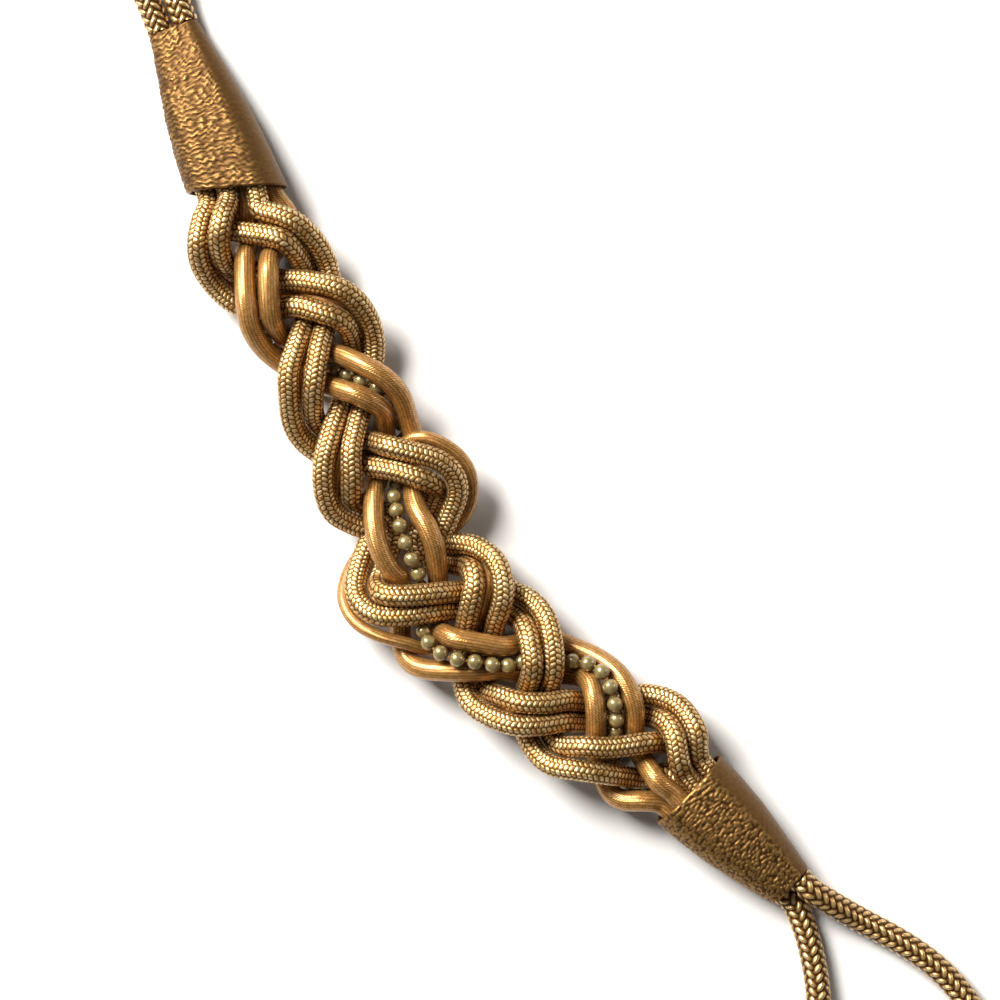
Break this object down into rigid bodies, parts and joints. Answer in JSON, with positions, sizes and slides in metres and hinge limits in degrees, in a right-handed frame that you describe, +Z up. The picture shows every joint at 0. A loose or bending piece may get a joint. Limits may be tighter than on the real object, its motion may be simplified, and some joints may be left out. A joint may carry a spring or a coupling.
{
  "type": "braided tassel belt",
  "caption": "Belt of gold cords in a loose three-strand braid, one strand edged with a pearl string, held at both ends in tapered thread-wound cuffs with tasselled ties.",
  "frame": {"origin": "bottom centre of the braid with its two cuffs, on the surface that the belt lies on", "axes": "+X along the braid from the upper cuff to the lower cuff, +Y across it, +Z up from the surface"},
  "size_m": [0.4388, 0.1062, 0.0182],
  "materials": {
    "textured_gold_cord": "knitted metallic thread, glinting stitch by stitch",
    "satin_gold_cord": "satin, finely ribbed",
    "olive_pearl": "pearly gloss",
    "wound_gold_thread": "fine wound thread with a soft sheen",
    "tie_cord": "coarse braided cord with a soft sheen",
    "tassel_yarn": "loose yarn with a soft sheen"
  },
  "bodies": {
    "root": {"first_textured_cord_a": "textured_gold_cord", "first_textured_cord_b": "textured_gold_cord", "first_core_cord": "satin_gold_cord", "second_textured_cord_a": "textured_gold_cord", "second_textured_cord_b": "textured_gold_cord", "second_core_cord": "satin_gold_cord", "satin_cord_a": "satin_gold_cord", "satin_cord_b": "satin_gold_cord", "pearl_string": "olive_pearl", "upper_wound_cuff": "wound_gold_thread", "lower_wound_cuff": "wound_gold_thread", "upper_left_tie": "tie_cord", "upper_right_tie": "tie_cord", "lower_left_tie": "tie_cord", "lower_right_tie": "tie_cord", "upper_left_tassel": "tassel_yarn", "upper_right_tassel": "tassel_yarn", "lower_left_tassel": "tassel_yarn", "lower_right_tassel": "tassel_yarn"}
  },
  "joints": []
}
